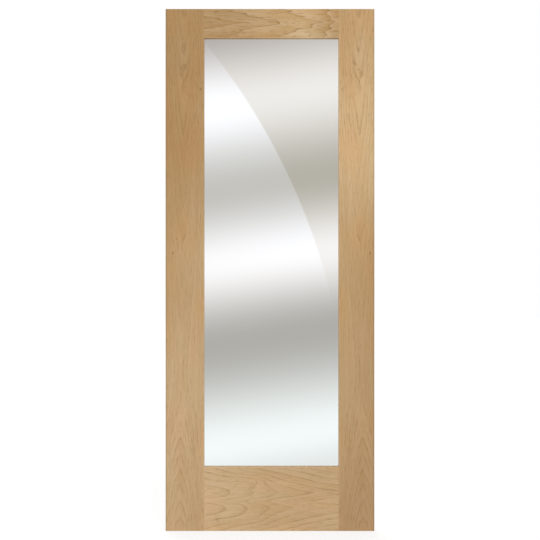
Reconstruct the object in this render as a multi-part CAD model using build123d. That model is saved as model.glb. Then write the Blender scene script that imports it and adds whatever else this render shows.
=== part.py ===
from build123d import *
import os

# Mirrored interior door leaf: oak-veneered stiles and rails framing a two-sided mirror panel.
# X runs from the hinge edge to the lock edge, Y from the front face to the back face, and Z is up.
# The origin is at the foot of the hinge edge, halfway through the leaf's thickness.

# The leaf
LEAF_HEIGHT = 2032.0
LEAF_WIDTH = 813.0
LEAF_THICKNESS = 35.0

# Face widths of the four frame members
LEFT_STILE_WIDTH = 150.0
RIGHT_STILE_WIDTH = 139.0
TOP_RAIL_HEIGHT = 113.0
BOTTOM_RAIL_HEIGHT = 250.0

# Build-up of a member: softwood core, veneered skin on each face, solid oak lipping on its edges
SKIN_THICKNESS = 3.0
OUTER_LIPPING_THICKNESS = 6.0
INNER_LIPPING_THICKNESS = 6.0
ARRIS_RADIUS = 1.0

# Mirror panel: two panes on a board, held in a groove that runs round the opening
PANE_THICKNESS = 4.0
PANE_SEAM = 0.5
BOARD_THICKNESS = 6.0
GROOVE_DEPTH = 10.0
PANEL_FACE_CLEARANCE = 0.2
PANEL_EDGE_CLEARANCE = 1.5

# Joint between rail and stile: a tongue on the rail's end fills the stile's groove
TONGUE_END_CLEARANCE = 1.0

# Positions that follow from the sizes above
HALF_THICKNESS = LEAF_THICKNESS / 2
HALF_CORE = HALF_THICKNESS - SKIN_THICKNESS
HALF_PANEL = PANE_THICKNESS + BOARD_THICKNESS / 2
HALF_GROOVE = HALF_PANEL + PANEL_FACE_CLEARANCE
OPENING_LEFT = LEFT_STILE_WIDTH
OPENING_RIGHT = LEAF_WIDTH - RIGHT_STILE_WIDTH
OPENING_BOTTOM = BOTTOM_RAIL_HEIGHT
OPENING_TOP = LEAF_HEIGHT - TOP_RAIL_HEIGHT
RAIL_LENGTH = OPENING_RIGHT - OPENING_LEFT
TONGUE_LENGTH = GROOVE_DEPTH - TONGUE_END_CLEARANCE


def rectangle(low, high):
    """A flat rectangle between two opposite corners."""
    middle = Pos((low[0] + high[0]) / 2, (low[1] + high[1]) / 2)
    return middle * Rectangle(high[0] - low[0], high[1] - low[1])


def member_sections(width, core_start):
    """Cross-sections of a member's pieces: across its width from the leaf's edge, then through the leaf."""
    core_end = width - INNER_LIPPING_THICKNESS
    core = rectangle((core_start, -HALF_CORE), (core_end, HALF_CORE))
    groove = rectangle((width - GROOVE_DEPTH, -HALF_GROOVE), (core_end, HALF_GROOVE))
    return {
        "core": core - groove,
        "front_veneer": rectangle((core_start, -HALF_THICKNESS), (core_end, -HALF_CORE)),
        "back_veneer": rectangle((core_start, HALF_CORE), (core_end, HALF_THICKNESS)),
        "inner_lipping_front": rectangle((core_end, -HALF_THICKNESS), (width, -HALF_GROOVE)),
        "inner_lipping_back": rectangle((core_end, HALF_GROOVE), (width, HALF_THICKNESS)),
    }


def stile(width):
    """A full-height member with its outer edge at X = 0 and its groove facing +X."""
    sections = member_sections(width, OUTER_LIPPING_THICKNESS)
    lipping = rectangle((0, -HALF_THICKNESS), (OUTER_LIPPING_THICKNESS, HALF_THICKNESS))
    outer_corners = lipping.vertices().group_by(Axis.X)[0]
    sections["outer_lipping"] = fillet(outer_corners, ARRIS_RADIUS)
    return {name: extrude(section, LEAF_HEIGHT) for name, section in sections.items()}


def rail_plane(x):
    """A drawing plane across the rails: its first axis points up and it faces -X."""
    return Plane(origin=(x, 0, 0), x_dir=(0, 0, 1), z_dir=(-1, 0, 0))


def rail(height):
    """A member between the stiles, with its outer edge at Z = 0, its groove facing up and tongued ends."""
    shoulder = rail_plane(OPENING_RIGHT)
    pieces = {}
    for name, section in member_sections(height, 0).items():
        pieces[name] = extrude(shoulder * section, RAIL_LENGTH)
    tongue = rectangle((0, -HALF_GROOVE), (height - GROOVE_DEPTH, HALF_GROOVE))
    tongue_end = rail_plane(OPENING_RIGHT + TONGUE_LENGTH)
    pieces["core"] += extrude(tongue_end * tongue, RAIL_LENGTH + 2 * TONGUE_LENGTH)
    return pieces


def panel_layer(back_y, thickness):
    """One layer of the mirror panel, standing on the floor of the bottom rail's groove."""
    reach = GROOVE_DEPTH - PANEL_EDGE_CLEARANCE
    outline = rectangle(
        (OPENING_LEFT - reach, OPENING_BOTTOM - GROOVE_DEPTH),
        (OPENING_RIGHT + reach, OPENING_TOP + reach),
    )
    return extrude(Plane.XZ.offset(-back_y) * outline, thickness)


def mirror_pane(back_y):
    """A mirror pane with its sharp edges seamed all round both faces."""
    pane = panel_layer(back_y, PANE_THICKNESS)
    face_edges = pane.faces().sort_by(Axis.Y)[0].edges() + pane.faces().sort_by(Axis.Y)[-1].edges()
    return chamfer(face_edges, PANE_SEAM)


nodes = {}

for name, piece in stile(LEFT_STILE_WIDTH).items():
    nodes["left_stile_" + name] = piece
for name, piece in stile(RIGHT_STILE_WIDTH).items():
    nodes["right_stile_" + name] = Pos(LEAF_WIDTH, 0, 0) * mirror(piece, about=Plane.YZ)

for name, piece in rail(BOTTOM_RAIL_HEIGHT).items():
    nodes["bottom_rail_" + name] = piece
for name, piece in rail(TOP_RAIL_HEIGHT).items():
    nodes["top_rail_" + name] = Pos(0, 0, LEAF_HEIGHT) * mirror(piece, about=Plane.XY)

nodes["front_mirror"] = mirror_pane(PANE_THICKNESS - HALF_PANEL)
nodes["backing_board"] = panel_layer(HALF_PANEL - PANE_THICKNESS, BOARD_THICKNESS)
nodes["back_mirror"] = mirror_pane(HALF_PANEL)

os.makedirs("parts", exist_ok=True)
for name, piece in nodes.items():
    export_step(piece, os.path.join("parts", name + ".step"))
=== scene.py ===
import math
from typing import NamedTuple

import bmesh
import bpy
from bpy.props import FloatProperty, FloatVectorProperty, PointerProperty
from mathutils import Matrix, Vector


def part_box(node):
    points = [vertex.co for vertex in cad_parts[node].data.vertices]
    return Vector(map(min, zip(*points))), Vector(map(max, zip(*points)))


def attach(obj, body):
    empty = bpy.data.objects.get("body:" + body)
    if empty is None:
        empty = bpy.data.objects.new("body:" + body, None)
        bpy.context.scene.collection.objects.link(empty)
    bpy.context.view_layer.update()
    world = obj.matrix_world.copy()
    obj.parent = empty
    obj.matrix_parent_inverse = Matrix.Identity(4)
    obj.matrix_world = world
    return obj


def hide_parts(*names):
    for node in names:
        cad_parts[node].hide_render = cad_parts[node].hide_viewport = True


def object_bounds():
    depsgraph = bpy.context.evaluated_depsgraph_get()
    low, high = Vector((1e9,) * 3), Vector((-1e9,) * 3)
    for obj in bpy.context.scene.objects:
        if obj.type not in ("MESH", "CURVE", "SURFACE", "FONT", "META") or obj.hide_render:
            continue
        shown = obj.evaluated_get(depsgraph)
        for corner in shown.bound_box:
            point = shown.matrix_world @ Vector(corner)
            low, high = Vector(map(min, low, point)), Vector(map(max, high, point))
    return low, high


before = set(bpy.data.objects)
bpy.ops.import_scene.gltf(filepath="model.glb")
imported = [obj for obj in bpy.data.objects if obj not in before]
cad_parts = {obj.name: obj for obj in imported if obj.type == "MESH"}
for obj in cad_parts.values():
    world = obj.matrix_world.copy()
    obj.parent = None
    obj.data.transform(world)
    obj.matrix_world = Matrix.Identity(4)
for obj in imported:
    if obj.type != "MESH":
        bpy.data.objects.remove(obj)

bl_info = {
    "name": "Mirrored Interior Door",
    "version": (1, 0, 0),
    "blender": (4, 5, 0),
    "location": "3D View > Sidebar > Door",
    "description": "Finishes a door leaf in oak veneer, oak lippings and mirror glass, on a studio stage",
    "category": "Object",
}

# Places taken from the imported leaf, in metres
CAD_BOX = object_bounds()
LEAF_LOW, LEAF_HIGH = CAD_BOX
LEAF_MIDDLE = (LEAF_LOW + LEAF_HIGH) / 2
LEAF_SIZE = LEAF_HIGH - LEAF_LOW
OPENING_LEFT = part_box("left_stile_inner_lipping_front")[1].x
OPENING_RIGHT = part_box("right_stile_inner_lipping_front")[0].x
FRONT_MIRROR_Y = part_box("front_mirror")[0].y

STILES = ("left_stile", "right_stile")
RAILS = ("top_rail", "bottom_rail")
MEMBERS = STILES + RAILS
# The leaf's two faces, and the turn about the upright from the front to each
FACE_TURNS = {"front": 0.0, "back": math.pi}


def screen_colour(red, green, blue):
    """A linear colour from values of 0 to 255 as a screen shows them."""
    shares = [value / 255 for value in (red, green, blue)]
    return tuple(s / 12.92 if s <= 0.04045 else ((s + 0.055) / 1.055) ** 2.4 for s in shares)


def between(low, high, share):
    """The value that lies a share of the way from low to high."""
    return low + (high - low) * share


def label_of(name):
    """The label that a node group or a socket bears for a name in this script."""
    return name.replace("_", " ").title()


def labelled(record, fields):
    """Fields of a record as inputs for a node group whose sockets bear their labels."""
    return {label_of(field): getattr(record, field) for field in fields}


def colour_property(name, description, default):
    """A colour that the panel shows."""
    return FloatVectorProperty(
        name=name, description=description, default=default, subtype="COLOR", size=3, min=0.0, max=1.0
    )


def length_property(name, description, default):
    """A length in metres that the panel shows."""
    return FloatProperty(name=name, description=description, default=default, unit="LENGTH", precision=5)


def angle_property(name, description, degrees):
    """An angle that the panel shows."""
    return FloatProperty(name=name, description=description, default=math.radians(degrees), unit="ROTATION")


def share_property(name, description, default):
    """A share of 0 to 1 that the panel shows as a slider."""
    return FloatProperty(
        name=name, description=description, default=default, min=0.0, max=1.0, precision=3, subtype="FACTOR"
    )


class DoorOak(bpy.types.PropertyGroup):
    """Colours and small sizes of the oak veneer, the lippings, the skins and the core."""

    deep_tone: colour_property("Deep tone", "Darkest ground of the veneer", screen_colour(165, 128, 80))
    pale_tone: colour_property("Pale tone", "Palest ground of the veneer", screen_colour(212, 180, 135))
    grain_line: colour_property("Grain line", "Colour of the growth-ring lines", screen_colour(130, 97, 46))
    knot: colour_property("Knot", "Colour of the pin knots", screen_colour(112, 71, 24))
    pore: colour_property("Pore", "Colour at the bottom of the open pores", screen_colour(104, 74, 45))
    skin_board: colour_property("Skin board", "Fibreboard under the veneer", screen_colour(134, 101, 69))
    core: colour_property("Core", "Ground colour of the softwood core", screen_colour(216, 186, 142))
    core_line: colour_property("Core line", "Late wood in the softwood core", screen_colour(176, 130, 82))
    backing: colour_property("Backing board", "Board between the panes", screen_colour(150, 118, 84))
    veneer_leaf: length_property("Veneer leaf", "Thickness of the oak leaf on each skin", 0.0006)
    skin_arris: length_property("Skin arris", "Easing of the skins' edges", 0.0002)
    lipping_arris: length_property("Lipping arris", "Easing of the inner lippings' edges", 0.0004)
    stave_width: length_property("Stave width", "Width of the strips that the core is glued up from", 0.046)


class DoorMirror(bpy.types.PropertyGroup):
    """Finish of the silvered panes."""

    silver: colour_property("Silver", "Tint of the silvered glass", screen_colour(246, 248, 248))
    haze: share_property("Haze", "Roughness of the cleanest glass", 0.004)


class DoorStage(bpy.types.PropertyGroup):
    """Camera, light and the reflectors that the mirror sees."""

    lens: FloatProperty(name="Lens", description="Focal length", default=60.0, unit="CAMERA")
    view_height: length_property("View height", "Height that the picture spans at the leaf's face", 2.1019)
    reflector_distance: length_property("Reflector distance", "From the mirror to the reflector", 1.1)
    reflector_width: length_property("Reflector width", "Width of each reflector", 4.2)
    reflector_height: length_property("Reflector height", "Height of each reflector", 2.9)
    ambient: share_property("Ambient", "Strength of the soft light from all round", 0.65)
    key_strength: FloatProperty(
        name="Key light", description="Strength of the key light on each face", default=1.527, min=0.0
    )
    key_height: angle_property("Key height", "Height of the key lights above level", 40)
    key_side: angle_property("Key side", "How far to the right of each face its key light stands", 20)
    key_softness: angle_property("Key softness", "How broad the key lights look", 50)


class Ripples(NamedTuple):
    """A soft noise: how many ripples to a metre along, across and through a board, and how it shows."""

    to_a_metre: tuple
    detail: float = 2.0
    roughness: float = 0.5
    # Where in the noise it starts, so that like ones differ
    start: tuple = (0.0, 0.0, 0.0)
    # Levels between which marks come up out of the noise
    levels: tuple = (0.0, 1.0)
    strength: float = 1.0


class Wire:
    """A number running through a node tree: arithmetic on wires adds the Math nodes that work it out."""

    def __init__(self, graph, socket):
        self.graph = graph
        self.socket = socket

    def __add__(self, other):
        return self.graph.math("ADD", self, other)

    def __sub__(self, other):
        return self.graph.math("SUBTRACT", self, other)

    def __rsub__(self, other):
        return self.graph.math("SUBTRACT", other, self)

    def __mul__(self, other):
        return self.graph.math("MULTIPLY", self, other)

    def __truediv__(self, other):
        return self.graph.math("DIVIDE", self, other)

    __radd__ = __add__
    __rmul__ = __mul__


# Sockets of a Mix node set to colours: its share, its two colours and its result
MIX_SHARE, MIX_FIRST, MIX_SECOND, MIX_RESULT = 0, 6, 7, 2
# Where the steady random draws start
DRAW_START = 7.3


class Graph:
    """A node tree being wired. Inputs are wires or plain values."""

    def __init__(self, tree):
        self.tree = tree

    def feed(self, socket, value):
        """Joins a wire to a socket, or sets the socket's own value."""
        if isinstance(value, Wire):
            self.tree.links.new(value.socket, socket)
        elif socket.type == "RGBA":
            socket.default_value = (*value[:3], 1.0)
        else:
            socket.default_value = value

    def add(self, kind, inputs=None, **settings):
        """Adds a node with the given settings and with inputs by name or number."""
        node = self.tree.nodes.new(kind)
        for name, value in settings.items():
            setattr(node, name, value)
        for name, value in (inputs or {}).items():
            self.feed(node.inputs[name], value)
        return node

    def out(self, node, name=0):
        """A wire from one of a node's outputs."""
        return Wire(self, node.outputs[name])

    def math(self, operation, *values):
        """The result of one step of arithmetic."""
        return self.out(self.add("ShaderNodeMath", dict(enumerate(values)), operation=operation))

    def ramp(self, value, start, end, low=0.0, high=1.0):
        """A smooth step: low until start, high from end."""
        inputs = {"Value": value, "From Min": start, "From Max": end, "To Min": low, "To Max": high}
        return self.out(self.add("ShaderNodeMapRange", inputs, interpolation_type="SMOOTHSTEP"))

    def noise(self, kind, along, across=0.0, depth=0.0):
        """One kind of ripples at a place, from 0 to 1."""
        place = self.out(self.add("ShaderNodeCombineXYZ", {"X": along, "Y": across, "Z": depth}))
        steps = {0: place, 1: kind.to_a_metre, 2: kind.start}
        rippled = self.out(self.add("ShaderNodeVectorMath", steps, operation="MULTIPLY_ADD"))
        inputs = {"Vector": rippled, "Scale": 1.0, "Detail": kind.detail, "Roughness": kind.roughness}
        return self.out(self.add("ShaderNodeTexNoise", inputs))

    def marks(self, kind, along, across, depth):
        """The marks that come up out of one kind of ripples, from 0 to 1."""
        return self.ramp(self.noise(kind, along, across, depth), *kind.levels)

    def draw(self, number):
        """A steady random draw of 0 to 1 for a whole number."""
        node = self.add("ShaderNodeTexWhiteNoise", {"W": number + DRAW_START}, noise_dimensions="1D")
        return self.out(node, "Value")

    def mix(self, share, first, second, blend="MIX"):
        """Two colours mixed by a share."""
        inputs = {MIX_SHARE: share, MIX_FIRST: first, MIX_SECOND: second}
        return self.out(self.add("ShaderNodeMix", inputs, data_type="RGBA", blend_type=blend), MIX_RESULT)

    def tint(self, colour, levels):
        """A colour with its red, green and blue multiplied by levels of their own."""
        return self.mix(1.0, colour, self.out(self.add("ShaderNodeCombineColor", levels)), "MULTIPLY")

    def shade(self, colour, amount):
        """A colour multiplied by an amount."""
        return self.tint(colour, dict.fromkeys(("Red", "Green", "Blue"), amount))

    def colour_ramp(self, share, stops):
        """Colours that ease into one another; each stop is a place of 0 to 1 and a colour."""
        node = self.add("ShaderNodeValToRGB", {"Fac": share})
        node.color_ramp.interpolation = "EASE"
        elements = node.color_ramp.elements
        while len(elements) < len(stops):
            elements.new(0.5)
        for element, (place, colour) in zip(elements, stops):
            element.position = place
            element.color = (*colour, 1.0)
        return self.out(node)

    def place_group(self, maker, inputs):
        """Places the node group that a maker builds, which is built once, and gives its outputs by name."""
        tree = bpy.data.node_groups.get(label_of(maker.__name__)) or maker()
        node = self.add("ShaderNodeGroup", inputs, node_tree=tree)
        return {socket.name: Wire(self, socket) for socket in node.outputs}

    def object_place(self):
        """The piece's own X, Y and Z, in metres."""
        coordinates = self.out(self.add("ShaderNodeTexCoord"), "Object")
        split = self.add("ShaderNodeSeparateXYZ", {"Vector": coordinates})
        return tuple(self.out(split, axis) for axis in "XYZ")


def new_group(name, inputs, outputs, colours=()):
    """An empty shader group, its sockets numbers but for the colours named: its graph and input wires."""
    tree = bpy.data.node_groups.new(name, "ShaderNodeTree")
    for in_out, sockets in (("INPUT", inputs), ("OUTPUT", outputs)):
        for socket in sockets:
            kind = "NodeSocketColor" if socket in colours else "NodeSocketFloat"
            tree.interface.new_socket(socket, in_out=in_out, socket_type=kind)
    graph = Graph(tree)
    source = graph.add("NodeGroupInput")
    return graph, {socket: graph.out(source, socket) for socket in inputs}


# How the growth rings wander: broad bends, small sways, jags in the lines, and steps counted in rings
RING_BENDS = Ripples((2.3, 11.0, 9.0))
RING_SWAYS = Ripples((7.0, 30.0, 9.0), start=(0.0, 0.0, 2.0), strength=0.4)
RING_JAGS = Ripples((4.0, 32.0, 20.0), detail=0.8)
RING_STEPS = Ripples((0.7, 0.0, 0.0), detail=1.0)
# Where the lines fade, what they keep there, and how far strain holds them up
RING_FADES = Ripples((9.0, 30.0, 9.0), start=(0.0, 0.0, 4.0), levels=(0.34, 0.64))
FADED_LINE = 0.18
STRAIN_HOLD = 3.0
# How softly two nests of arches meet, in rings
NEST_BLEND = 0.35
# The crisp edge's share of a line's width and of its strength, and where in the next ring a line ends
LINE_EDGE = 0.3
EDGE_SHARE = 0.4
LINE_END = 0.05
# How much of a ring's tone fades from its start to its end; the rest is the ring's own
BAND_FADE = 0.55


def growth_rings():
    """Rings cut through by the saw: nested arches round one or two crowns, or straight lines."""
    graph, wire = new_group(
        "Growth Rings",
        (
            "Along", "Across", "Depth", "Rise", "First Crown", "Second Crown", "Second Lag", "Roundness",
            "Spread", "Spike", "Spike Width", "Swell", "Strain", "Spacing", "Offset", "Unevenness", "Jag",
            "Fineness", "Wander", "Line Width",
        ),
        ("Line", "Band"),
    )
    along, across, depth, fineness = wire["Along"], wire["Across"], wire["Depth"], wire["Fineness"]
    bend = graph.noise(RING_BENDS, along, across, depth) - 0.5
    sway = graph.noise(RING_SWAYS, along, across, depth) - 0.5
    drifted = across + (bend + RING_SWAYS.strength * sway) * wire["Wander"]
    radii = []
    for crown, lag in (("First Crown", 0.0), ("Second Crown", wire["Second Lag"])):
        offset = graph.math("ABSOLUTE", drifted - wire[crown])
        roundness = wire["Roundness"]
        arch = graph.math("SQRT", offset * offset + roundness * roundness) - roundness
        point = graph.math("TANH", offset / wire["Spike Width"])
        radii.append(wire["Rise"] * (1.0 + lag) + arch * wire["Spread"] + point * wire["Spike"])
    jag = graph.noise(RING_JAGS, along * fineness, across * fineness, depth) - 0.5
    radius = graph.math("SMOOTH_MIN", *radii, wire["Spacing"] * NEST_BLEND)
    turns = (radius + wire["Swell"] + jag * wire["Jag"]) / wire["Spacing"]
    phase = turns + wire["Offset"] + wire["Unevenness"] * (graph.noise(RING_STEPS, turns) - 0.5)
    within = graph.math("FRACT", phase)
    growing = graph.ramp(within, 1.0 - wire["Line Width"], 1.0)
    edge = graph.ramp(within, 1.0 - LINE_EDGE * wire["Line Width"], 1.0)
    ending = graph.ramp(within, 0.0, LINE_END, 1.0, 0.0)
    line = graph.math("MAXIMUM", (1.0 - EDGE_SHARE) * growing + EDGE_SHARE * edge, ending)
    fade = graph.noise(RING_FADES, along, across, depth)
    kept = graph.ramp(fade, *RING_FADES.levels, FADED_LINE, 1.0)
    kept = graph.math("MAXIMUM", kept, wire["Strain"] * STRAIN_HOLD)
    band = BAND_FADE * (1.0 - within) + (1.0 - BAND_FADE) * graph.draw(graph.math("FLOOR", phase))
    graph.add("NodeGroupOutput", {"Line": line * kept, "Band": band})
    return graph.tree


# How pointed a knot's ends are: 1 for a diamond, 2 for an ellipse
KNOT_POINT = 1.9
# Where the tint inside a knot fades out, in knot radii
KNOT_FILL = (0.7, 1.2)


def pin_knot():
    """A small knot that pushes, strains and darkens the rings: a dot, or a ring with a tinted heart."""
    graph, wire = new_group(
        "Pin Knot",
        ("Place Along", "Place Across", *(label_of(field) for field in Knot._fields)),
        ("Swell", "Strain", "Heart"),
    )
    along = wire["Place Along"] - wire["Along"]
    across = wire["Place Across"] - wire["Across"] - along * wire["Lean"]
    below = graph.math("LESS_THAN", along, 0.0)
    along = graph.math("ABSOLUTE", along / (wire["Length"] + below * (wire["Tail"] - wire["Length"])))
    across = graph.math("ABSOLUTE", across / wire["Width"])
    away = graph.math("POWER", along, KNOT_POINT) + graph.math("POWER", across, KNOT_POINT)
    away = graph.math("POWER", away, 1.0 / KNOT_POINT)
    near = graph.math("EXPONENT", 0.0 - away * away)
    rim = graph.ramp(graph.math("ABSOLUTE", away - wire["Ring"]), 0.0, wire["Rim"], 1.0, 0.0)
    fill = graph.ramp(away, *KNOT_FILL, 1.0, 0.0) * wire["Fill"]
    heart = graph.math("MAXIMUM", rim, fill) * wire["Darkness"]
    outputs = {"Swell": near * wire["Push"], "Strain": near * wire["Strain"], "Heart": heart}
    graph.add("NodeGroupOutput", outputs)
    return graph.tree


# How the grain sways across the board, in metres at most
GRAIN_SWAY = Ripples((6.0, 25.0, 25.0), strength=0.006)
# Streaks and clouds in the ground tone
FINE_STREAKS = Ripples((18.0, 210.0, 210.0), detail=3.0, roughness=0.6, strength=0.34)
BROAD_STREAKS = Ripples((1.8, 55.0, 55.0), strength=0.24)
CLOUDS = Ripples((5.0, 16.0, 16.0), strength=0.20)
# How far they move red, green and blue, so that all three change alike on a screen
GRAIN_SHARES = {"Red": 0.71, "Green": 1.03, "Blue": 1.98}
# Patches between a warm and a cool tint
WARM_PATCHES = Ripples((4.0, 12.0, 12.0), detail=1.0, start=(3.0, 0.0, 0.0), levels=(0.35, 0.65))
WARM_TINT = (1.026, 0.986, 0.952)
COOL_TINT = (0.984, 1.008, 1.024)
# Darker vessels, open pores, the share of these away from the lines, and paler rays
VESSELS = Ripples((30.0, 240.0, 240.0), detail=1.0, levels=(0.58, 0.70), strength=0.40)
PORES = Ripples((34.0, 820.0, 820.0), detail=1.0, levels=(0.60, 0.72), strength=0.55)
FEW_PORES = 0.25
RAYS = Ripples((90.0, 340.0, 340.0), detail=1.0, levels=(0.66, 0.76), strength=0.22)
RAY_LIGHT = 1.16
# What each of them does to the roughness and to the height of the surface
OAK_ROUGHNESS = {"ground": 0.46, "line": 0.10, "pore": 0.16, "ray": -0.06}
OAK_HEIGHT = {"line": -0.35, "pore": -1.0, "streak": 0.25}


def oak_surface():
    """Colour, roughness and relief of oak: streaks, pores and rays over a ground tone and ring lines."""
    graph, wire = new_group(
        "Oak Surface",
        (
            "Along", "Across", "Depth", "Line", "Band", "Heart", "Line Strength", "Band Strength",
            "Streak Strength", "Tone", "Line Colour", "Knot Colour", "Pore Colour",
        ),
        ("Colour", "Roughness", "Relief"),
        colours=("Tone", "Line Colour", "Knot Colour", "Pore Colour", "Colour"),
    )
    along, across, depth = wire["Along"], wire["Across"], wire["Depth"]
    line, streak_strength = wire["Line"], wire["Streak Strength"]
    across = across + GRAIN_SWAY.strength * graph.noise(GRAIN_SWAY, along, across, depth)
    place = (along, across, depth)
    fine = graph.noise(FINE_STREAKS, *place) - 0.5
    broad = graph.noise(BROAD_STREAKS, *place) - 0.5
    cloud = graph.noise(CLOUDS, *place) - 0.5
    swing = streak_strength * (FINE_STREAKS.strength * fine + BROAD_STREAKS.strength * broad)
    swing = swing + CLOUDS.strength * cloud + (wire["Band"] - 0.5) * wire["Band Strength"]
    levels = {name: 1.0 + share * swing for name, share in GRAIN_SHARES.items()}
    warmth = graph.mix(graph.marks(WARM_PATCHES, *place), WARM_TINT, COOL_TINT)
    ground = graph.mix(1.0, graph.tint(wire["Tone"], levels), warmth, "MULTIPLY")
    vessels = graph.marks(VESSELS, *place) * streak_strength
    streaked = graph.mix(vessels * VESSELS.strength, ground, wire["Line Colour"])
    lined = graph.mix(line * wire["Line Strength"], streaked, wire["Line Colour"])
    lined = graph.mix(wire["Heart"], lined, wire["Knot Colour"])
    pores = graph.marks(PORES, *place) * between(FEW_PORES, 1.0, line)
    porous = graph.mix(pores * PORES.strength, lined, wire["Pore Colour"])
    rays = graph.marks(RAYS, *place)
    roughness = OAK_ROUGHNESS["ground"] + OAK_ROUGHNESS["line"] * line
    height = OAK_HEIGHT["line"] * line + OAK_HEIGHT["pore"] * pores
    outputs = {
        "Colour": graph.mix(rays * RAYS.strength, porous, graph.shade(wire["Tone"], RAY_LIGHT)),
        "Roughness": roughness + OAK_ROUGHNESS["pore"] * pores + OAK_ROUGHNESS["ray"] * rays,
        "Relief": height + OAK_HEIGHT["streak"] * fine,
    }
    graph.add("NodeGroupOutput", outputs)
    return graph.tree


class Knot(NamedTuple):
    """A knot, a stroke or a calm patch on a member, in metres, and how it is drawn."""

    along: float
    across: float
    # Its reach up, down and to each side
    length: float
    tail: float
    width: float
    # How far it leans across for each metre along
    lean: float = 0.0
    # How far it pushes the growth rings, and how much it darkens them, or calms them below 0
    push: float = 0.0
    strain: float = 0.0
    # A dot at 0 or a ring at 1, the thickness of its line and the tint inside, as shares
    ring: float = 0.0
    rim: float = 1.0
    fill: float = 0.0
    darkness: float = 0.0


class Figure(NamedTuple):
    """How one member's veneer is figured, in metres along and across its grain, and how it shows."""

    # Middle lines of the arches
    crowns: tuple
    # Where the saw left the heart and how steeply, at one or both ends, and the rise that this settles at
    slopes: tuple
    reach: float
    # Radius of the arches' tips, and how fast the rings widen away from a crown
    roundness: float
    spread: float
    # How the arches draw out to a point: share of the rise, the rise where it starts, and the point's width
    spike: tuple
    # From ring to ring, where the first one falls, and how uneven they are, the last two as shares
    spacing: float
    offset: float
    unevenness: float
    # Height and fineness of the jags in the rings, and how far the rings wander
    jag: float
    fineness: float
    wander: float
    # Share of a ring that its line takes up, and how strongly lines, bands and streaks show
    line_width: float
    line_strength: float
    band_strength: float
    streak_strength: float
    # How far the second nest of arches lags behind, and how the middle lines lean along the member
    crown_lag: float = 0.0
    crown_lean: float = 0.0
    # Strength that the lines keep where they run straight, and the stretch of the member where they do
    calm: tuple = (1.0, 0.0, 0.0)
    # Ground colour at even steps along the member: deep (0) to pale (1), and how warm, or cool below 0.
    # A second row is for the outer edge, where that differs from the opening's edge
    tones: tuple = ()
    warmth: tuple = ()
    knots: tuple = ()


# Fields of a figure that go to the growth rings as they are
RING_FIELDS = ("roundness", "spread", "spacing", "offset", "unevenness", "jag", "fineness", "wander")
# What one step of warmth does to red, green and blue, and what one step of coolness does
WARM_SHIFT = Vector((0.0, -0.045, -0.10))
COOL_SHIFT = Vector((0.0, 0.0, 0.10))

# The two stiles are cut from leaves laid open like a book, so their figure is measured from the opening.
# Both have a calm patch at the eye, a branch's shade, arm, tail and shoulder, a foot knot and a speck
STILE_FIGURE = Figure(
    crowns=(0.096, 0.096),
    crown_lean=-0.0095,
    slopes=((-0.05, 0.105), (2.137, -0.042)),
    reach=0.080,
    roundness=0.05,
    spread=1.0,
    spike=(0.06, 0.0, 0.008),
    spacing=0.0065,
    offset=0.26,
    unevenness=0.5,
    jag=0.005,
    fineness=2.4,
    wander=0.016,
    line_width=0.45,
    line_strength=0.32,
    calm=(0.40, 0.40, 1.46),
    band_strength=0.12,
    streak_strength=0.68,
    knots=(
        Knot(1.862, 0.078, 0.022, 0.022, 0.014, strain=-0.26),
        Knot(1.745, 0.078, 0.05, 0.05, 0.026, strain=0.1),
        Knot(1.764, 0.0716, 0.045, 0.045, 0.0052, lean=-0.44, darkness=0.4),
        Knot(1.722, 0.0835, 0.026, 0.026, 0.005, darkness=0.3),
        Knot(1.8185, 0.0657, 0.02, 0.02, 0.0048, lean=-0.66, darkness=0.26),
        Knot(0.315, 0.04, 0.02, 0.02, 0.01, push=-0.003, fill=0.5, darkness=0.18),
        Knot(1.082, 0.122, 0.009, 0.009, 0.005, darkness=0.9),
    ),
)
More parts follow.
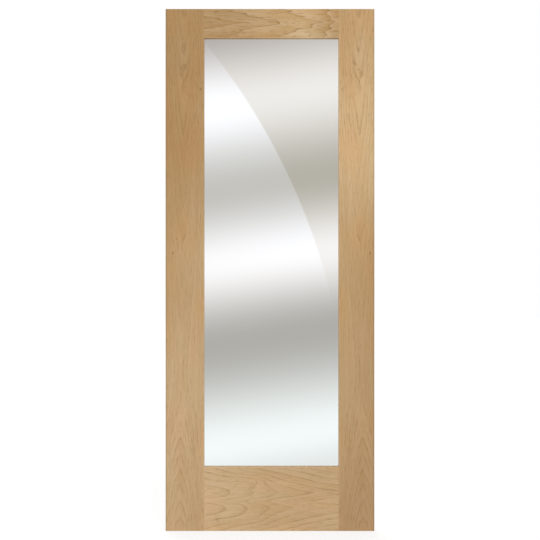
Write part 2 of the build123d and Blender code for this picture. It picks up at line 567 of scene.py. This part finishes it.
FIGURES = {
    # Adds a slim ringed eye, a horseshoe over the branch and two specks
    "left_stile": STILE_FIGURE._replace(
        line_strength=0.27,
        tones=((0.43, 0.60, 0.47, 0.21, 0.17), (0.58, 0.60, 0.34, 0.18, 0.17)),
        warmth=((-0.6, -0.5, 0.2, 0.6, 0.4), (-0.6, -0.5, 0.4, 2.1, 0.4)),
        knots=STILE_FIGURE.knots + (
            Knot(1.876, 0.0785, 0.016, 0.016, 0.0064, ring=1.0, rim=0.6, fill=0.4, darkness=0.24),
            Knot(1.797, 0.078, 0.016, 0.003, 0.011, push=-0.003, ring=1.0, rim=0.5, fill=0.4, darkness=0.34),
            Knot(1.72, 0.012, 0.009, 0.009, 0.005, darkness=0.8),
            Knot(1.139, 0.105, 0.006, 0.006, 0.0035, darkness=0.7),
        ),
    ),
    # Adds a solid eye, a loop, a bar and a hook over the branch, and a speck
    "right_stile": STILE_FIGURE._replace(
        tones=((0.18, 0.44, 0.45, 0.84, 0.51), (0.16, 0.21, 0.24, 0.96, 0.62)),
        warmth=((-1.4, -0.3, 0.7, 0.7, 0.9), (-1.4, -0.3, 0.7, 0.7, 0.9)),
        knots=STILE_FIGURE.knots + (
            Knot(1.8735, 0.0755, 0.02, 0.02, 0.0085, darkness=0.34),
            Knot(1.824, 0.0605, 0.007, 0.007, 0.005, ring=1.0, rim=0.6, darkness=0.28),
            Knot(1.797, 0.0775, 0.0045, 0.0045, 0.012, push=-0.003, darkness=0.4),
            Knot(1.786, 0.0885, 0.015, 0.015, 0.0055, darkness=0.34),
            Knot(1.72, 0.012, 0.009, 0.009, 0.005, darkness=0.45),
        ),
    ),
    # Feathered arches that point to the right, pushed on in the middle, and two faint smudges
    "top_rail": Figure(
        crowns=(1.981, 1.981),
        slopes=((-0.06, 0.145),),
        reach=0.2,
        roundness=0.05,
        spread=0.15,
        spike=(-0.32, 0.115, 0.026),
        spacing=0.0213,
        offset=0.465,
        unevenness=0.2,
        jag=0.016,
        fineness=2.6,
        wander=0.010,
        line_width=0.15,
        line_strength=0.68,
        band_strength=0.46,
        streak_strength=1.1,
        tones=((0.27, 0.32, 0.57, 0.83, 0.38),),
        warmth=((0.3, 0.2, 0.1, -0.2, 0.4),),
        knots=(
            Knot(0.53, 1.981, 0.05, 0.05, 0.2, push=0.02),
            Knot(0.262, 1.944, 0.016, 0.016, 0.012, darkness=0.14),
            Knot(0.255, 2.018, 0.016, 0.016, 0.008, darkness=0.1),
        ),
    ),
    # Two nests of arches with a calm valley between: what bends and calms them, two kinks and three specks
    "bottom_rail": Figure(
        crowns=(0.148, 0.0895),
        crown_lag=0.13,
        slopes=((-0.044, 0.2145),),
        reach=0.115,
        roundness=0.020,
        spread=1.0,
        spike=(0.16, 0.038, 0.012),
        spacing=0.0215,
        offset=0.56,
        unevenness=0.3,
        jag=0.010,
        fineness=1.1,
        wander=0.012,
        line_width=0.22,
        line_strength=0.52,
        band_strength=0.14,
        streak_strength=0.6,
        tones=((0.73, 0.66, 0.55, 0.53, 0.53),),
        warmth=((-0.6, -0.5, -0.4, -0.6, -0.5),),
        knots=(
            Knot(0.25, 0.119, 9.0, 9.0, 0.012, push=0.012, strain=-0.25),
            Knot(0.0, 0.148, 0.03, 0.03, 0.03, push=0.006),
            Knot(0.2, 0.193, 0.05, 0.1, 0.025, push=-0.025),
            Knot(0.2, 0.05, 0.05, 0.1, 0.022, push=-0.015),
            Knot(0.36, 0.088, 0.2, 0.14, 0.03, strain=-0.5),
            Knot(0.204, 0.188, 0.006, 0.006, 0.015, lean=-0.6, darkness=0.26),
            Knot(0.238, 0.187, 0.007, 0.007, 0.014, lean=-0.6, darkness=0.2),
            Knot(0.05, 0.041, 0.01, 0.01, 0.004, darkness=0.38),
            Knot(0.346, 0.004, 0.012, 0.012, 0.004, darkness=0.3),
            Knot(0.335, 0.209, 0.014, 0.014, 0.005, darkness=0.23),
        ),
    ),
}


def empty_graph(owner):
    """Gives a material or a world a node tree with nothing in it."""
    owner.use_nodes = True
    owner.node_tree.nodes.clear()
    return Graph(owner.node_tree)


def new_material(name):
    """A material with a Principled shader: the material, its graph and the shader."""
    material = bpy.data.materials.new(name)
    graph = empty_graph(material)
    shader = graph.add("ShaderNodeBsdfPrincipled")
    graph.add("ShaderNodeOutputMaterial", {"Surface": graph.out(shader)})
    return material, graph, shader


# Depth of each wood's relief in metres, and how strongly the light takes it up
OAK_RELIEF = 0.0002
CORE_RELIEF = 0.0003
BOARD_RELIEF = 0.0002
RELIEF_STRENGTH = 0.6
WOOD_SPECULAR = 0.35


def finish_wood(graph, shader, surface, colour, relief_depth):
    """Joins a wood surface's outputs to the shader."""
    relief = {"Height": surface["Relief"], "Strength": RELIEF_STRENGTH, "Distance": relief_depth}
    graph.feed(shader.inputs["Base Color"], colour)
    graph.feed(shader.inputs["Roughness"], surface["Roughness"])
    graph.feed(shader.inputs["Normal"], graph.out(graph.add("ShaderNodeBump", relief)))
    shader.inputs["Specular IOR Level"].default_value = WOOD_SPECULAR


def grain_directions(member, x, z):
    """A member's grain: places along and across it, then shares of the way along and outwards."""
    if member in RAILS:
        along = x - OPENING_LEFT
        return along, z, along / (OPENING_RIGHT - OPENING_LEFT), 0.0
    if member == "left_stile":
        across, width = OPENING_LEFT - x, OPENING_LEFT - LEAF_LOW.x
    else:
        across, width = x - OPENING_RIGHT, LEAF_HIGH.x - OPENING_RIGHT
    return z, across, (z - LEAF_LOW.z) / LEAF_SIZE.z, across / width


def tone_ramp(graph, share, tones, warmths):
    """The ground colour drifting along a board, through evenly spaced tones."""
    oak = bpy.context.scene.door_oak
    stops = []
    for index, (tone, warmth) in enumerate(zip(tones, warmths)):
        ground = Vector(oak.deep_tone).lerp(Vector(oak.pale_tone), tone)
        shift = WARM_SHIFT * max(warmth, 0.0) - COOL_SHIFT * min(warmth, 0.0)
        stops.append((index / (len(tones) - 1), ground + ground * shift))
    return graph.colour_ramp(share, stops)


def ground_tone(graph, share, side, figure):
    """A member's ground colour, mixed across it where its two edges differ."""
    rows = [tone_ramp(graph, share, *row) for row in zip(figure.tones, figure.warmth)]
    return rows[0] if len(rows) == 1 else graph.mix(side, *rows)


# How the knots' outlines waver along and across the grain, in metres
WAVER_ALONG = Ripples((45.0, 90.0, 0.0), strength=0.012)
WAVER_ACROSS = Ripples((45.0, 90.0, 0.0), start=(0.0, 0.0, 5.0), strength=0.008)


def knot_effects(graph, knots, along, across):
    """What a member's knots do together: how they swell, strain and darken its rings."""
    bent_along = along + WAVER_ALONG.strength * (graph.noise(WAVER_ALONG, along, across) - 0.5)
    bent_across = across + WAVER_ACROSS.strength * (graph.noise(WAVER_ACROSS, along, across) - 0.5)
    place = {"Place Along": bent_along, "Place Across": bent_across}
    swell, strain, heart = 0.0, 0.0, 0.0
    for knot in knots:
        made = graph.place_group(pin_knot, {**place, **labelled(knot, Knot._fields)})
        swell = made["Swell"] + swell
        strain = made["Strain"] + strain
        heart = made["Heart"] + heart
    return swell, strain, heart


def lay_oak(graph, place, rings, look):
    """Places the oak surface over growth rings, with the look that is a piece's own."""
    oak = bpy.context.scene.door_oak
    along, across, depth = place
    shared = {
        "Along": along,
        "Across": across,
        "Depth": depth,
        "Line": rings["Line"],
        "Band": rings["Band"],
        "Line Colour": oak.grain_line,
        "Knot Colour": oak.knot,
        "Pore Colour": oak.pore,
    }
    return graph.place_group(oak_surface, {**shared, **look})


# How softly the rise of the arches settles, as a share of its reach
RISE_BLEND = 0.5
# Metres over which the lines grow calm, and how far the streaks follow them
CALM_FADE = 0.1
CALM_STREAKS = 0.5
# How fast strained lines grow thinner
STRAIN_THINNING = 2.0
# The board under the veneer: its fibres, and the light that they leave it
SKIN_FIBRES = Ripples((900.0, 900.0, 900.0), detail=3.0, roughness=0.7)
SKIN_LIGHT = (0.7, 1.3)


def veneer_material(member):
    """Crown-cut oak veneer on a fibreboard skin, figured for one member."""
    oak = bpy.context.scene.door_oak
    figure = FIGURES[member]
    material, graph, shader = new_material("oak_veneer_" + member)
    x, y, z = graph.object_place()
    along, across, share, side = grain_directions(member, x, z)
    swell, strain, heart = knot_effects(graph, figure.knots, along, across)
    rise = figure.reach
    for pith, slant in figure.slopes:
        rise = graph.math("SMOOTH_MIN", slant * (along - pith), rise, figure.reach * RISE_BLEND)
    lean = figure.crown_lean * along
    spike_share, spike_start, spike_width = figure.spike
    cut = {
        "Along": along,
        "Across": across,
        "Depth": y,
        "Rise": rise,
        "First Crown": lean + figure.crowns[0],
        "Second Crown": lean + figure.crowns[1],
        "Second Lag": figure.crown_lag,
        "Spike": graph.math("MAXIMUM", spike_share * (rise - spike_start), 0.0),
        "Spike Width": spike_width,
        "Swell": swell,
        "Strain": strain,
        "Line Width": figure.line_width * (1.0 - STRAIN_THINNING * strain),
    }
    rings = graph.place_group(growth_rings, {**cut, **labelled(figure, RING_FIELDS)})
    kept, calm_start, calm_end = figure.calm
    calm = graph.ramp(along, calm_start, calm_start + CALM_FADE)
    calm = (1.0 - kept) * calm * graph.ramp(along, calm_end, calm_end + CALM_FADE, 1.0, 0.0)
    look = {
        "Heart": heart,
        "Line Strength": figure.line_strength * (1.0 - calm) + strain,
        "Band Strength": figure.band_strength,
        "Streak Strength": figure.streak_strength * (1.0 - CALM_STREAKS * calm),
        "Tone": ground_tone(graph, share, side, figure),
    }
    surface = lay_oak(graph, (along, across, y), rings, look)
    leaf_bottom = LEAF_SIZE.y / 2 - oak.veneer_leaf
    in_leaf = graph.math("GREATER_THAN", graph.math("ABSOLUTE", y), leaf_bottom)
    board = graph.shade(oak.skin_board, between(*SKIN_LIGHT, graph.noise(SKIN_FIBRES, x, y, z)))
    finish_wood(graph, shader, surface, graph.mix(in_leaf, board, surface["Colour"]), OAK_RELIEF)
    return material


# Rings of straight-grained wood, in the lippings and the core, and how far they drift through it
STRAIGHT_RINGS = {"Spread": 1.0, "Unevenness": 1.2, "Jag": 0.001, "Fineness": 1.0}
DEPTH_DRIFT = 0.2
# Rings of the lippings, whose heart lies far to one side: how they drift along, slant and lie
LIPPING_RINGS = {
    **STRAIGHT_RINGS,
    "First Crown": -0.3,
    "Second Crown": -0.3,
    "Roundness": 0.09,
    "Spacing": 0.0042,
    "Wander": 0.010,
    "Line Width": 0.4,
}
LIPPING_DRIFT = 0.25
LIPPING_SLANT = 0.6
LIPPING_RISE = 0.09
LIPPING_STRENGTHS = {"Line Strength": 0.20, "Band Strength": 0.06, "Streak Strength": 0.8}


def lipping_material(member, place, painted_light_level):
    """Straight-grained solid oak, matched to a member's veneer and darkened or brightened by a level of
    painted shade or painted light.
    """
    material, graph, shader = new_material(f"oak_lipping_{member}_{place}")
    x, y, z = graph.object_place()
    along, across, share, side = grain_directions(member, x, z)
    cut = {
        "Along": along * LIPPING_DRIFT,
        "Across": across + y * LIPPING_SLANT,
        "Depth": y * DEPTH_DRIFT,
        "Rise": y + LIPPING_RISE,
    }
    rings = graph.place_group(growth_rings, {**cut, **LIPPING_RINGS})
    # The member's ground tone times the level of painted shade or painted light
    tone = graph.shade(ground_tone(graph, share, side, FIGURES[member]), painted_light_level)
    surface = lay_oak(graph, (along, across, y), rings, {**LIPPING_STRENGTHS, "Tone": tone})
    finish_wood(graph, shader, surface, surface["Colour"], OAK_RELIEF)
    return material


# Rings of the core's staves: how they drift along, from stave to stave, and how deep their hearts lie
CORE_RINGS = {**STRAIGHT_RINGS, "Roundness": 0.03, "Spacing": 0.0036, "Wander": 0.006, "Line Width": 0.5}
CORE_DRIFT = 0.3
STAVE_STEP = 9.0
HEART_DEPTHS = (-0.05, 0.07)
# Looks of the core: its fibres, the light of a stave, its lines, and the glue joints at a stave's edges
CORE_FIBRES = Ripples((6.0, 420.0, 420.0), detail=3.0, roughness=0.6, strength=0.24)
CORE_LIGHT = (0.80, 1.02)
CORE_ROUGHNESS = (0.62, 0.78)
CORE_LINE_STRENGTH = 0.62
CORE_LINE_DEPTH = 0.4
GLUE_JOINT = (0.490, 0.497)
GLUE_STRENGTH = 0.55


def core_material(name, upright):
    """Softwood staves glued side by side, each with rings of its own."""
    oak = bpy.context.scene.door_oak
    material, graph, shader = new_material(name)
    x, y, z = graph.object_place()
    along, across = (z, x) if upright else (x, z)
    staves = across / oak.stave_width
    within = graph.math("FRACT", staves)
    draw = graph.draw(graph.math("FLOOR", staves))
    cut = {
        "Along": along * CORE_DRIFT + draw * STAVE_STEP,
        "Across": (within - draw) * oak.stave_width,
        "Depth": y * DEPTH_DRIFT,
        "Rise": y + between(*HEART_DEPTHS, draw),
    }
    rings = graph.place_group(growth_rings, {**cut, **CORE_RINGS})
    fibres = graph.noise(CORE_FIBRES, along, across, y)
    ground = graph.shade(oak.core, between(*CORE_LIGHT, draw) + CORE_FIBRES.strength * fibres)
    lined = graph.mix(rings["Line"] * CORE_LINE_STRENGTH, ground, oak.core_line)
    glue = graph.ramp(graph.math("ABSOLUTE", within - 0.5), *GLUE_JOINT)
    colour = graph.mix(glue * GLUE_STRENGTH, lined, oak.core_line)
    relief = fibres - CORE_LINE_DEPTH * rings["Line"]
    surface = {"Roughness": between(*CORE_ROUGHNESS, fibres), "Relief": relief}
    finish_wood(graph, shader, surface, colour, CORE_RELIEF)
    return material


# Faint drifts in the silver's light, and wiping marks that add to the haze
SILVER_DRIFTS = Ripples((2.0, 2.0, 2.0))
SILVER_LIGHT = (0.985, 1.015)
WIPING_MARKS = Ripples((14.0, 14.0, 3.0), detail=3.0, strength=0.006)


def mirror_material():
    """Silvered glass with the faintest haze and tint."""
    finish = bpy.context.scene.door_mirror
    material, graph, shader = new_material("mirror_glass")
    place = graph.object_place()
    light = between(*SILVER_LIGHT, graph.noise(SILVER_DRIFTS, *place))
    haze = finish.haze + WIPING_MARKS.strength * graph.noise(WIPING_MARKS, *place)
    graph.feed(shader.inputs["Base Color"], graph.shade(finish.silver, light))
    graph.feed(shader.inputs["Roughness"], haze)
    shader.inputs["Metallic"].default_value = 1.0
    return material


# Looks of the board between the panes
BACKING_FIBRES = Ripples((700.0, 700.0, 700.0), detail=3.0, roughness=0.7)
BACKING_LIGHT = (0.75, 1.25)
BACKING_ROUGHNESS = (0.7, 0.9)


def backing_material():
    """Plain fibreboard."""
    oak = bpy.context.scene.door_oak
    material, graph, shader = new_material("backing_board")
    fibres = graph.noise(BACKING_FIBRES, *graph.object_place())
    surface = {"Roughness": between(*BACKING_ROUGHNESS, fibres), "Relief": fibres}
    colour = graph.shade(oak.backing, between(*BACKING_LIGHT, fibres))
    finish_wood(graph, shader, surface, colour, BOARD_RELIEF)
    return material


def dress(node, material):
    """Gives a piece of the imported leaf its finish."""
    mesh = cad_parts[node].data
    mesh.materials.clear()
    mesh.materials.append(material)


def link_mesh(name, shape, material):
    """Turns a finished bmesh into an object in the scene."""
    mesh = bpy.data.meshes.new(name)
    shape.to_mesh(mesh)
    shape.free()
    mesh.materials.append(material)
    piece = bpy.data.objects.new(name, mesh)
    bpy.context.scene.collection.objects.link(piece)
    return piece


def eased_board(node, arris, material):
    """A board in a node's place, with every edge lightly eased as sanding leaves it."""
    low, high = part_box(node)
    board = bmesh.new()
    bmesh.ops.create_cube(board, size=1.0)
    bmesh.ops.scale(board, vec=high - low, verts=board.verts)
    bmesh.ops.translate(board, vec=(low + high) / 2, verts=board.verts)
    bmesh.ops.bevel(
        board, geom=board.edges[:], offset=arris, segments=2, profile=0.5, affect="EDGES", material=-1
    )
    piece = link_mesh(node + "_eased", board, material)
    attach(piece, "root")
    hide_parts(node)


class DOOR_OT_veneers(bpy.types.Operator):
    """Lay the figured oak skins on both faces of the stiles and rails"""

    bl_idname = "door.veneers"
    bl_label = "Veneered skins"

    def execute(self, context):
        for member in MEMBERS:
            material = veneer_material(member)
            for face in FACE_TURNS:
                node = f"{member}_{face}_veneer"
                eased_board(node, context.scene.door_oak.skin_arris, material)
        return {"FINISHED"}


# Levels of painted light on the lippings, against the veneer beside them: painted shade darkens the outer
# lippings at the leaf's edges, and painted light brightens the inner lippings round the mirror
OUTER_LIPPING_PAINTED_SHADE = 0.88
INNER_LIPPING_PAINTED_LIGHT = 1.05


class DOOR_OT_lippings(bpy.types.Operator):
    """Finish the solid oak lippings at the leaf's edges and round the mirror"""

    bl_idname = "door.lippings"
    bl_label = "Oak lippings"

    def execute(self, context):
        for member in STILES:
            # The outer lippings carry painted shade at the leaf's edges
            dress(member + "_outer_lipping", lipping_material(member, "outer", OUTER_LIPPING_PAINTED_SHADE))
        for member in MEMBERS:
            # The inner lippings carry painted light on their faces round the mirror
            material = lipping_material(member, "inner", INNER_LIPPING_PAINTED_LIGHT)
            for face in FACE_TURNS:
                node = f"{member}_inner_lipping_{face}"
                eased_board(node, context.scene.door_oak.lipping_arris, material)
        return {"FINISHED"}


class DOOR_OT_cores(bpy.types.Operator):
    """Finish the softwood cores, which show at the leaf's top and foot"""

    bl_idname = "door.cores"
    bl_label = "Softwood cores"

    def execute(self, context):
        upright = core_material("softwood_core_upright", True)
        level = core_material("softwood_core_level", False)
        for member in MEMBERS:
            dress(member + "_core", upright if member in STILES else level)
        return {"FINISHED"}


class DOOR_OT_mirror_panel(bpy.types.Operator):
    """Finish the two mirror panes and the board between them"""

    bl_idname = "door.mirror_panel"
    bl_label = "Mirror panel"

    def execute(self, context):
        glass = mirror_material()
        for face in FACE_TURNS:
            dress(face + "_mirror", glass)
        dress("backing_board", backing_material())
        return {"FINISHED"}


# What the mirror sees: soft bands on the reflector, as height above the floor and colour on a screen,
# and how far they climb for each metre to the right
REFLECTOR_BANDS = (
    (-0.050, (227, 230, 229)),
    (0.145, (244, 249, 248)),
    (0.676, (175, 172, 167)),
    (1.070, (247, 243, 241)),
    (1.458, (180, 175, 165)),
    (1.903, (239, 235, 231)),
    (2.375, (167, 159, 154)),
)
BAND_TILT = 0.155
# The bands blend as a screen shows them, and this makes light of the blend
SCREEN_GAMMA = 2.2
# The mirror swallows some light, which the reflector makes good
REFLECTOR_STRENGTH = 1.075
# A round-edged glow on the reflector, which fades towards the floor and the top
GLOW_CENTRE = Vector((-2.898, 0.096))
GLOW_RADIUS = 3.310
GLOW_EDGE = 0.010
GLOW_TINT = (1.20, 1.24, 1.33)
GLOW_FOOT = (0.78, 1.47)
GLOW_HEAD = (1.73, 2.40)


def reflector_material():
    """Soft light and dark bands with a round-edged glow, seen only in the mirror."""
    material = bpy.data.materials.new("reflector")
    graph = empty_graph(material)
    x, _, z = graph.object_place()
    lowest = REFLECTOR_BANDS[0][0]
    span = REFLECTOR_BANDS[-1][0] - lowest
    stops = [
        ((height - lowest) / span, [value / 255 for value in colour]) for height, colour in REFLECTOR_BANDS
    ]
    bands = graph.colour_ramp((z - BAND_TILT * x - lowest) / span, stops)
    blended = graph.out(graph.add("ShaderNodeGamma", {"Color": bands, "Gamma": SCREEN_GAMMA}))
    across, up = x - GLOW_CENTRE.x, z - GLOW_CENTRE.y
    away = graph.math("SQRT", across * across + up * up)
    inside = graph.ramp(away, GLOW_RADIUS - GLOW_EDGE, GLOW_RADIUS, 1.0, 0.0)
    glow = inside * graph.ramp(z, *GLOW_FOOT) * graph.ramp(z, *GLOW_HEAD, 1.0, 0.0)
    colour = graph.mix(glow, blended, GLOW_TINT, "MULTIPLY")
    light = graph.add("ShaderNodeEmission", {"Color": colour, "Strength": REFLECTOR_STRENGTH})
    graph.add("ShaderNodeOutputMaterial", {"Surface": graph.out(light)})
    return material


def flat_sheet(width):
    """A square sheet that lies flat round the origin."""
    sheet = bmesh.new()
    bmesh.ops.create_grid(sheet, x_segments=1, y_segments=1, size=width / 2)
    return sheet


def add_reflectors(stage):
    """A reflector before each face of the leaf, seen only by glossy rays."""
    material = reflector_material()
    for face, turn in FACE_TURNS.items():
        sheet = flat_sheet(1.0)
        bmesh.ops.rotate(sheet, matrix=Matrix.Rotation(-math.pi / 2, 3, "X"), verts=sheet.verts)
        bmesh.ops.scale(sheet, vec=(stage.reflector_width, 1.0, stage.reflector_height), verts=sheet.verts)
        place = (0.0, FRONT_MIRROR_Y - stage.reflector_distance, stage.reflector_height / 2)
        bmesh.ops.translate(sheet, vec=place, verts=sheet.verts)
        reflector = link_mesh("reflector_" + face, sheet, material)
        reflector.location.x = LEAF_MIDDLE.x
        reflector.rotation_euler.z = turn
        for kind in ("camera", "diffuse", "transmission", "volume_scatter", "shadow"):
            setattr(reflector, "visible_" + kind, False)


# Width of the floor in metres, its matt grey, which takes the shadow, and the white that it gives besides
FLOOR_SIZE = 30.0
FLOOR_GREY = 0.30
FLOOR_WHITE = 0.68


def seen_directly(graph):
    """1 for camera, glossy and transmission rays, which see the white background."""
    path = graph.add("ShaderNodeLightPath")
    seen = graph.math("MAXIMUM", graph.out(path, "Is Camera Ray"), graph.out(path, "Is Glossy Ray"))
    return graph.math("MAXIMUM", seen, graph.out(path, "Is Transmission Ray"))


def add_floor():
    """A pale floor that keeps the leaf's shadow and otherwise melts into the white background."""
    material = bpy.data.materials.new("pale_floor")
    graph = empty_graph(material)
    matt = graph.add("ShaderNodeBsdfDiffuse", {"Color": (FLOOR_GREY,) * 3})
    white = graph.add("ShaderNodeEmission", {"Strength": seen_directly(graph) * FLOOR_WHITE})
    both = graph.add("ShaderNodeAddShader", {0: graph.out(matt), 1: graph.out(white)})
    graph.add("ShaderNodeOutputMaterial", {"Surface": graph.out(both)})
    sheet = flat_sheet(FLOOR_SIZE)
    bmesh.ops.translate(sheet, vec=(LEAF_MIDDLE.x, 0.0, LEAF_LOW.z), verts=sheet.verts)
    floor = link_mesh("pale_floor", sheet, material)
    # The soft light reaches the leaf evenly from below as well
    floor.visible_diffuse = False


def add_light(stage):
    """Soft white light from all round, and a broad key light on each face."""
    world = bpy.data.worlds.new("studio")
    bpy.context.scene.world = world
    graph = empty_graph(world)
    strength = between(stage.ambient, 1.0, seen_directly(graph))
    sky = graph.add("ShaderNodeBackground", {"Color": (1.0, 1.0, 1.0), "Strength": strength})
    graph.add("ShaderNodeOutputWorld", {"Surface": graph.out(sky)})
    for face, turn in FACE_TURNS.items():
        lamp = bpy.data.lights.new("key_" + face, "SUN")
        lamp.energy = stage.key_strength
        lamp.angle = stage.key_softness
        holder = bpy.data.objects.new("key_" + face, lamp)
        holder.rotation_euler = (math.pi / 2 - stage.key_height, 0.0, turn + stage.key_side)
        holder.visible_glossy = False
        bpy.context.scene.collection.objects.link(holder)


def add_camera(stage):
    """A level camera square to the front face, on the leaf's middle."""
    lens = bpy.data.cameras.new("camera")
    lens.lens = stage.lens
    distance = stage.view_height * stage.lens / lens.sensor_width
    camera = bpy.data.objects.new("camera", lens)
    camera.location = (LEAF_MIDDLE.x, LEAF_LOW.y - distance, LEAF_MIDDLE.z)
    camera.rotation_euler = (math.pi / 2, 0.0, 0.0)
    bpy.context.scene.collection.objects.link(camera)
    bpy.context.scene.camera = camera


class DOOR_OT_stage(bpy.types.Operator):
    """Set the floor, the light, the reflectors and the camera"""

    bl_idname = "door.stage"
    bl_label = "Studio stage"

    def execute(self, context):
        stage = context.scene.door_stage
        context.scene.view_settings.view_transform = "Standard"
        add_floor()
        add_light(stage)
        add_reflectors(stage)
        add_camera(stage)
        return {"FINISHED"}


class DOOR_PT_panel(bpy.types.Panel):
    """The leaf's finishes and the buttons that make them"""

    bl_idname = "DOOR_PT_panel"
    bl_label = "Mirrored Interior Door"
    bl_space_type = "VIEW_3D"
    bl_region_type = "UI"
    bl_category = "Door"

    def draw(self, context):
        layout = self.layout
        for group in (context.scene.door_oak, context.scene.door_mirror, context.scene.door_stage):
            box = layout.box()
            for name in group.__annotations__:
                box.prop(group, name)
        for operator in OPERATORS:
            layout.operator(operator.bl_idname)


OPERATORS = (DOOR_OT_veneers, DOOR_OT_lippings, DOOR_OT_cores, DOOR_OT_mirror_panel, DOOR_OT_stage)
CLASSES = (DoorOak, DoorMirror, DoorStage, *OPERATORS, DOOR_PT_panel)


def register():
    """Makes the properties, the operators and the panel known to Blender."""
    for cls in CLASSES:
        bpy.utils.register_class(cls)
    bpy.types.Scene.door_oak = PointerProperty(type=DoorOak)
    bpy.types.Scene.door_mirror = PointerProperty(type=DoorMirror)
    bpy.types.Scene.door_stage = PointerProperty(type=DoorStage)


def unregister():
    """Takes them away again."""
    del bpy.types.Scene.door_stage
    del bpy.types.Scene.door_mirror
    del bpy.types.Scene.door_oak
    for cls in reversed(CLASSES):
        bpy.utils.unregister_class(cls)


def main():
    """Finishes the whole leaf and sets the stage."""
    register()
    bpy.ops.door.veneers()
    bpy.ops.door.lippings()
    bpy.ops.door.cores()
    bpy.ops.door.mirror_panel()
    bpy.ops.door.stage()


if __name__ == "__main__":
    main()
